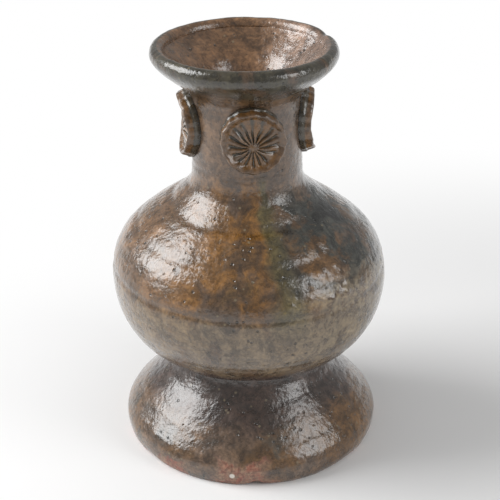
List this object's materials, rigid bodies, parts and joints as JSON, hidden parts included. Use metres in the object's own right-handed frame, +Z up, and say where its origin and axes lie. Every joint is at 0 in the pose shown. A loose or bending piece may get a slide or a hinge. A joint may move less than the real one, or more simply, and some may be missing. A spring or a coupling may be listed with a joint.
{
  "type": "vase",
  "caption": "Small wheel-thrown stoneware vase: flared hollow foot, round body, straight neck with applied flower rosettes, dished mouth, mottled brown glaze.",
  "frame": {"origin": "middle of the ring on which the foot stands", "axes": "+Z up along the vase's axis; -Y towards the viewer of the picture, +X to the viewer's right"},
  "size_m": [0.113, 0.113, 0.17],
  "materials": {
    "brown_glaze": "glossy, pitted, mottled brown, olive, amber and purple-grey glaze over red-brown clay",
    "amber_glaze": "glossy amber-brown glaze, thin on the ribs and dark in the strokes"
  },
  "bodies": {
    "root": {"foot": "brown_glaze", "lower_bowl": "brown_glaze", "shoulder": "brown_glaze", "neck": "brown_glaze", "mouth": "brown_glaze", "rosette_front": "amber_glaze", "rosette_right": "amber_glaze", "rosette_back": "amber_glaze", "rosette_left": "amber_glaze"}
  },
  "joints": []
}
